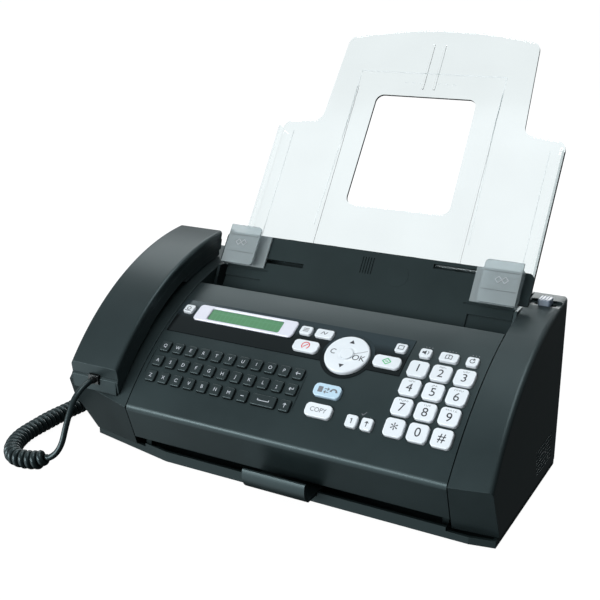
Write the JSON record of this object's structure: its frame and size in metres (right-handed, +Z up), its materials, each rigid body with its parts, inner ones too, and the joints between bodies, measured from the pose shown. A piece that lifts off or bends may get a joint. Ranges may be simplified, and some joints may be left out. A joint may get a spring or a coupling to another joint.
{
  "type": "fax machine",
  "caption": "Desktop fax machine with a corded handset, hinged control panel with keypad and display, adjustable document guides, clear paper tray and geared paper drive.",
  "frame": {"origin": "middle of the bounding box without the handset's cord, on the surface the feet stand on", "axes": "+X to the machine's right as seen from the front, +Y to the back, +Z up; the control panel faces -Y and +Z"},
  "size_m": [0.3388, 0.3051, 0.2695],
  "materials": {
    "housing": "satin",
    "housing_dark": "satin",
    "trim": "glossy",
    "bezel": "satin",
    "display": "glossy",
    "board": "satin",
    "key_light": "glossy",
    "key_blue": "glossy",
    "key_dark": "satin",
    "clear": "glossy",
    "rubber": "matte",
    "film": "glossy",
    "gear": "satin",
    "steel": "satin",
    "aluminium": "satin",
    "slider": "satin",
    "cord": "satin",
    "plug": "glossy"
  },
  "bodies": {
    "machine": {"base_shell": "housing_dark", "feet": "rubber", "left_wing": "housing", "right_wing": "housing", "rear_shell": "housing", "support_plate": "housing_dark", "main_board": "board", "drive_motor": "steel", "scanner_bar": "housing_dark", "print_head": "aluminium", "socket_block": "housing_dark", "cord_coil": "cord", "cord_tail": "cord", "base_plug": "plug"},
    "panel": {"panel_shell": "housing", "panel_trim": "trim", "display_bezel": "bezel", "lcd": "display", "keypad_board": "board"},
    "handset": {"handset_back": "housing", "handset_front": "housing", "handset_plug": "plug", "cord_lead": "cord"},
    "platen": {"platen_roller": "rubber", "platen_gear": "gear"},
    "takeup": {"film_takeup_roll": "film", "takeup_gear": "gear"},
    "pick": {"pick_roller": "rubber"},
    "supply": {"film_supply_roll": "film"},
    "motor": {"motor_pinion": "steel"},
    "exit_tray": {"exit_tray": "housing"},
    "paper_tray": {"paper_tray": "clear"},
    "guide_right": {"guide_right": "clear"},
    "guide_left": {"guide_left": "clear"},
    "guide_pinion": {"guide_pinion": "gear"},
    "mode_slider": {"mode_slider": "slider"},
    "hook_plunger": {"hook_plunger": "housing_dark"},
    "copy_key": {"copy_key": "key_light"},
    "function_keys": {"function_keys": "key_light"},
    "key_0": {"key_0": "key_light"},
    "key_1": {"key_1": "key_light"},
    "key_2": {"key_2": "key_light"},
    "key_3": {"key_3": "key_light"},
    "key_4": {"key_4": "key_light"},
    "key_5": {"key_5": "key_light"},
    "key_6": {"key_6": "key_light"},
    "key_7": {"key_7": "key_light"},
    "key_8": {"key_8": "key_light"},
    "key_9": {"key_9": "key_light"},
    "key_hash": {"key_hash": "key_light"},
    "key_star": {"key_star": "key_light"},
    "letter_keys_bottom": {"letter_keys_bottom": "key_dark"},
    "letter_keys_middle": {"letter_keys_middle": "key_dark"},
    "letter_keys_top": {"letter_keys_top": "key_dark"},
    "mode_key": {"mode_key": "key_blue"},
    "phone_keys": {"phone_keys": "key_light"},
    "shift_keys": {"shift_keys": "key_light"},
    "start_key": {"start_key": "key_light"},
    "stop_key": {"stop_key": "key_light"},
    "nav_dial": {"nav_dial": "key_light"}
  },
  "joints": [
    {"name": "panel_open", "type": "hinge", "parent": "machine", "child": "panel", "pos_m": [0.01361, -0.10696, 0.0175], "axis": [1, 0, 0], "range_deg": [0, 40]},
    {"name": "handset_lift", "type": "slide", "parent": "machine", "child": "handset", "axis": [0, -0.5595, 0.8288], "range_m": [0, 0.06]},
    {"name": "hook_rise", "type": "slide", "parent": "machine", "child": "hook_plunger", "axis": [0, 0, 1], "range_m": [0, 0.0024]},
    {"name": "paper_tray_lift", "type": "slide", "parent": "machine", "child": "paper_tray", "axis": [0, 0.565, 0.8251], "range_m": [0, 0.045]},
    {"name": "exit_tray_pull", "type": "slide", "parent": "machine", "child": "exit_tray", "axis": [0, -1, 0], "range_m": [0, 0.05]},
    {"name": "guide_right_slide", "type": "slide", "parent": "machine", "child": "guide_right", "axis": [-1, 0, 0], "range_m": [0, 0.031]},
    {"name": "guide_left_slide", "type": "slide", "parent": "machine", "child": "guide_left", "axis": [1, 0, 0], "range_m": [0, 0.031]},
    {"name": "guide_pinion_turn", "type": "hinge", "parent": "machine", "child": "guide_pinion", "pos_m": [0.01611, 0.00589, 0.11692], "axis": [0, -0.8251, 0.565], "range_deg": [0, 254.24]},
    {"name": "mode_slide", "type": "slide", "parent": "machine", "child": "mode_slider", "axis": [1, 0, 0], "range_m": [-0.005, 0.005]},
    {"name": "platen_turn", "type": "hinge", "parent": "machine", "child": "platen", "pos_m": [0.01361, -0.04996, 0.034], "axis": [1, 0, 0], "continuous": true},
    {"name": "takeup_turn", "type": "hinge", "parent": "machine", "child": "takeup", "pos_m": [0.01361, -0.08184, 0.02546], "axis": [1, 0, 0], "continuous": true},
    {"name": "pick_turn", "type": "hinge", "parent": "machine", "child": "pick", "pos_m": [0.01361, -0.02199, 0.05586], "axis": [1, 0, 0], "continuous": true},
    {"name": "motor_turn", "type": "hinge", "parent": "machine", "child": "motor", "pos_m": [0.01361, -0.05448, 0.0596], "axis": [1, 0, 0], "continuous": true},
    {"name": "supply_turn", "type": "hinge", "parent": "machine", "child": "supply", "pos_m": [0.01361, -0.01196, 0.026], "axis": [1, 0, 0], "continuous": true},
    {"name": "copy_key_press", "type": "slide", "parent": "panel", "child": "copy_key", "axis": [0, 0.6764, -0.7365], "range_m": [0, 0.0015], "stiffness_N_per_m": 400, "springref_m": -0.0005},
    {"name": "function_keys_press", "type": "slide", "parent": "panel", "child": "function_keys", "axis": [0, 0.4462, -0.8949], "range_m": [0, 0.0015], "stiffness_N_per_m": 400, "springref_m": -0.0005},
    {"name": "key_0_press", "type": "slide", "parent": "panel", "child": "key_0", "axis": [0, 0.6764, -0.7365], "range_m": [0, 0.0015], "stiffness_N_per_m": 400, "springref_m": -0.0005},
    {"name": "key_1_press", "type": "slide", "parent": "panel", "child": "key_1", "axis": [0, 0.5058, -0.8626], "range_m": [0, 0.0015], "stiffness_N_per_m": 400, "springref_m": -0.0005},
    {"name": "key_2_press", "type": "slide", "parent": "panel", "child": "key_2", "axis": [0, 0.5058, -0.8626], "range_m": [0, 0.0015], "stiffness_N_per_m": 400, "springref_m": -0.0005},
    {"name": "key_3_press", "type": "slide", "parent": "panel", "child": "key_3", "axis": [0, 0.5058, -0.8626], "range_m": [0, 0.0015], "stiffness_N_per_m": 400, "springref_m": -0.0005},
    {"name": "key_4_press", "type": "slide", "parent": "panel", "child": "key_4", "axis": [0, 0.5656, -0.8247], "range_m": [0, 0.0015], "stiffness_N_per_m": 400, "springref_m": -0.0005},
    {"name": "key_5_press", "type": "slide", "parent": "panel", "child": "key_5", "axis": [0, 0.5656, -0.8247], "range_m": [0, 0.0015], "stiffness_N_per_m": 400, "springref_m": -0.0005},
    {"name": "key_6_press", "type": "slide", "parent": "panel", "child": "key_6", "axis": [0, 0.5656, -0.8247], "range_m": [0, 0.0015], "stiffness_N_per_m": 400, "springref_m": -0.0005},
    {"name": "key_7_press", "type": "slide", "parent": "panel", "child": "key_7", "axis": [0, 0.6226, -0.7826], "range_m": [0, 0.0015], "stiffness_N_per_m": 400, "springref_m": -0.0005},
    {"name": "key_8_press", "type": "slide", "parent": "panel", "child": "key_8", "axis": [0, 0.6226, -0.7826], "range_m": [0, 0.0015], "stiffness_N_per_m": 400, "springref_m": -0.0005},
    {"name": "key_9_press", "type": "slide", "parent": "panel", "child": "key_9", "axis": [0, 0.6226, -0.7826], "range_m": [0, 0.0015], "stiffness_N_per_m": 400, "springref_m": -0.0005},
    {"name": "key_hash_press", "type": "slide", "parent": "panel", "child": "key_hash", "axis": [0, 0.6764, -0.7365], "range_m": [0, 0.0015], "stiffness_N_per_m": 400, "springref_m": -0.0005},
    {"name": "key_star_press", "type": "slide", "parent": "panel", "child": "key_star", "axis": [0, 0.6764, -0.7365], "range_m": [0, 0.0015], "stiffness_N_per_m": 400, "springref_m": -0.0005},
    {"name": "letter_keys_bottom_press", "type": "slide", "parent": "panel", "child": "letter_keys_bottom", "axis": [0, 0.6823, -0.731], "range_m": [0, 0.0015], "stiffness_N_per_m": 400, "springref_m": -0.0005},
    {"name": "letter_keys_middle_press", "type": "slide", "parent": "panel", "child": "letter_keys_middle", "axis": [0, 0.6387, -0.7695], "range_m": [0, 0.0015], "stiffness_N_per_m": 400, "springref_m": -0.0005},
    {"name": "letter_keys_top_press", "type": "slide", "parent": "panel", "child": "letter_keys_top", "axis": [0, 0.5928, -0.8053], "range_m": [0, 0.0015], "stiffness_N_per_m": 400, "springref_m": -0.0005},
    {"name": "mode_key_press", "type": "slide", "parent": "panel", "child": "mode_key", "axis": [0, 0.623, -0.7822], "range_m": [0, 0.0015], "stiffness_N_per_m": 400, "springref_m": -0.0005},
    {"name": "phone_keys_press", "type": "slide", "parent": "panel", "child": "phone_keys", "axis": [0, 0.448, -0.894], "range_m": [0, 0.0015], "stiffness_N_per_m": 400, "springref_m": -0.0005},
    {"name": "shift_keys_press", "type": "slide", "parent": "panel", "child": "shift_keys", "axis": [0, 0.6831, -0.7303], "range_m": [0, 0.0015], "stiffness_N_per_m": 400, "springref_m": -0.0005},
    {"name": "start_key_press", "type": "slide", "parent": "panel", "child": "start_key", "axis": [0, 0.5028, -0.8644], "range_m": [0, 0.0015], "stiffness_N_per_m": 400, "springref_m": -0.0005},
    {"name": "stop_key_press", "type": "slide", "parent": "panel", "child": "stop_key", "axis": [0, 0.5028, -0.8644], "range_m": [0, 0.0015], "stiffness_N_per_m": 400, "springref_m": -0.0005},
    {"name": "nav_dial_press", "type": "slide", "parent": "panel", "child": "nav_dial", "axis": [0, 0.5041, -0.8636], "range_m": [0, 0.0012], "stiffness_N_per_m": 400, "springref_m": -0.0005}
  ],
  "couplings": [
    {"joint": "hook_rise", "follows": "handset_lift", "ratio": 0.04},
    {"joint": "guide_left_slide", "follows": "guide_right_slide", "ratio": 1},
    {"joint": "guide_pinion_turn", "follows": "guide_right_slide", "rad_per_m": 142.86},
    {"joint": "takeup_turn", "follows": "platen_turn", "ratio": -1.5385},
    {"joint": "pick_turn", "follows": "platen_turn", "ratio": -1.2903},
    {"joint": "motor_turn", "follows": "platen_turn", "ratio": -3.3333}
  ]
}
